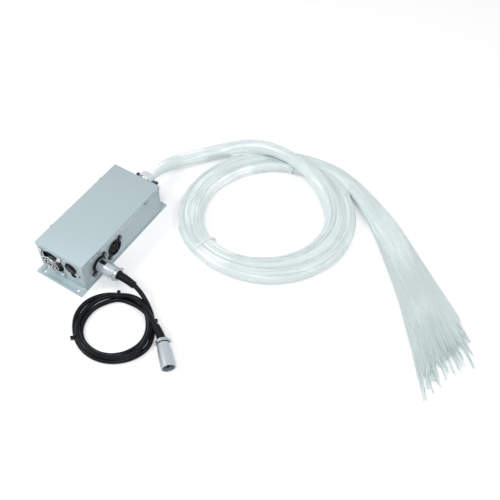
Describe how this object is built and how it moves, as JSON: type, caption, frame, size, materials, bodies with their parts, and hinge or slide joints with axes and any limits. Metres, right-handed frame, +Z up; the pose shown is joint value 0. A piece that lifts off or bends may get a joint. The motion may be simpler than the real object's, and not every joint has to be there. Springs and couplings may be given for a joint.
{
  "type": "fibre optic light engine",
  "caption": "Fibre optic lamp: small ventilated metal light engine with rocker switch and data sockets, clear fibre bundle laid in turns, and a short coiled data lead.",
  "frame": {"origin": "centre of the base plate's underside, midway between the four foot holes", "axes": "+X along the housing to the fibre port, +Y to the plain long side, +Z up, out of the cover"},
  "size_m": [0.4515, 0.5698, 0.0529],
  "materials": {
    "case_sheet": "satin silver powder coat",
    "steel_screws": "zinc plated",
    "fan_plastic": "fine matt moulding",
    "guard_chrome": "bright plating",
    "black_plastic": "matt moulding",
    "rocker_plastic": "glossy moulding",
    "lens_dark": "glossy",
    "socket_metal": "black coated zinc",
    "contact_metal": "plated contacts",
    "port_metal": "turned, satin",
    "thumb_black": "black oxide",
    "fibre_clear": "clear acrylic fibres",
    "tie_clear": "translucent nylon",
    "plug_metal": "satin nickel",
    "boot_rubber": "matt",
    "cable_jacket": "satin PVC",
    "tie_black": "nylon",
    "board_green": "solder mask",
    "board_parts": "mixed components",
    "emitter": "phosphor under silicone",
    "lens_clear": "clear acrylic",
    "wire_red": "PVC insulation"
  },
  "bodies": {
    "housing": {"base_plate": "case_sheet", "housing_walls": "case_sheet", "top_cover": "case_sheet", "cover_screws": "steel_screws", "base_screws": "steel_screws", "fan_frame": "fan_plastic", "fan_guard": "guard_chrome", "fan_screws": "steel_screws", "hex_nuts": "steel_screws", "switch_body": "black_plastic", "dc_jack": "black_plastic", "dc_jack_nut": "steel_screws", "indicator_lens": "lens_dark", "xlr_in_body": "socket_metal", "xlr_in_insert": "black_plastic", "xlr_in_pins": "contact_metal", "xlr_out_body": "socket_metal", "xlr_out_insert": "black_plastic", "xlr_out_contacts": "contact_metal", "socket_screws": "steel_screws", "port_sleeve": "port_metal", "port_nut": "steel_screws", "clamp_collar": "port_metal", "fibre_ferrule": "port_metal", "fibre_core": "fibre_clear", "led_heatsink": "port_metal", "led_board": "board_green", "led_emitter": "emitter", "lens_holder": "black_plastic", "collimator_lens": "lens_clear", "sink_bracket": "steel_screws", "driver_board": "board_green", "board_standoffs": "steel_screws", "board_screws": "steel_screws", "board_parts": "board_parts", "wiring": "wire_red", "fibre_lead": "fibre_clear", "fibre_coil": "fibre_clear", "fibre_tail": "fibre_clear", "fibre_spray": "fibre_clear", "fibre_ties": "tie_clear", "plug_a_shell": "plug_metal", "plug_a_insert": "black_plastic", "plug_a_ring": "plug_metal", "plug_a_boot": "boot_rubber", "cable_lead": "cable_jacket", "cable_coil": "cable_jacket", "cable_end": "cable_jacket", "cable_ties": "tie_black", "connector_boot": "boot_rubber", "connector_ring": "plug_metal", "connector_shell": "plug_metal", "connector_insert": "black_plastic", "connector_pins": "contact_metal"},
    "fan": {"fan_rotor": "fan_plastic"},
    "rocker": {"switch_rocker": "rocker_plastic"},
    "thumb_left": {"thumb_screw_left": "thumb_black"},
    "thumb_right": {"thumb_screw_right": "thumb_black"},
    "out_latch": {"xlr_out_latch": "socket_metal"},
    "plug_latch": {"plug_a_latch": "black_plastic"}
  },
  "joints": [
    {"name": "fan_spin", "type": "hinge", "parent": "housing", "child": "fan", "pos_m": [-0.08275, 0.0155, 0.0255], "axis": [1, 0, 0], "continuous": true},
    {"name": "switch_rock", "type": "hinge", "parent": "housing", "child": "rocker", "pos_m": [-0.08275, -0.0175, 0.035], "axis": [0, 1, 0], "range_deg": [0, 16]},
    {"name": "clamp_left", "type": "slide", "parent": "housing", "child": "thumb_left", "axis": [0, 1, 0], "range_m": [0, 0.0025]},
    {"name": "clamp_right", "type": "slide", "parent": "housing", "child": "thumb_right", "axis": [0, -1, 0], "range_m": [0, 0.0025]},
    {"name": "release_out", "type": "slide", "parent": "housing", "child": "out_latch", "axis": [0, 1, 0], "range_m": [0, 0.0012], "stiffness_N_per_m": 300},
    {"name": "release_plug", "type": "slide", "parent": "housing", "child": "plug_latch", "axis": [0, 0, -1], "range_m": [0, 0.0008], "stiffness_N_per_m": 300}
  ]
}
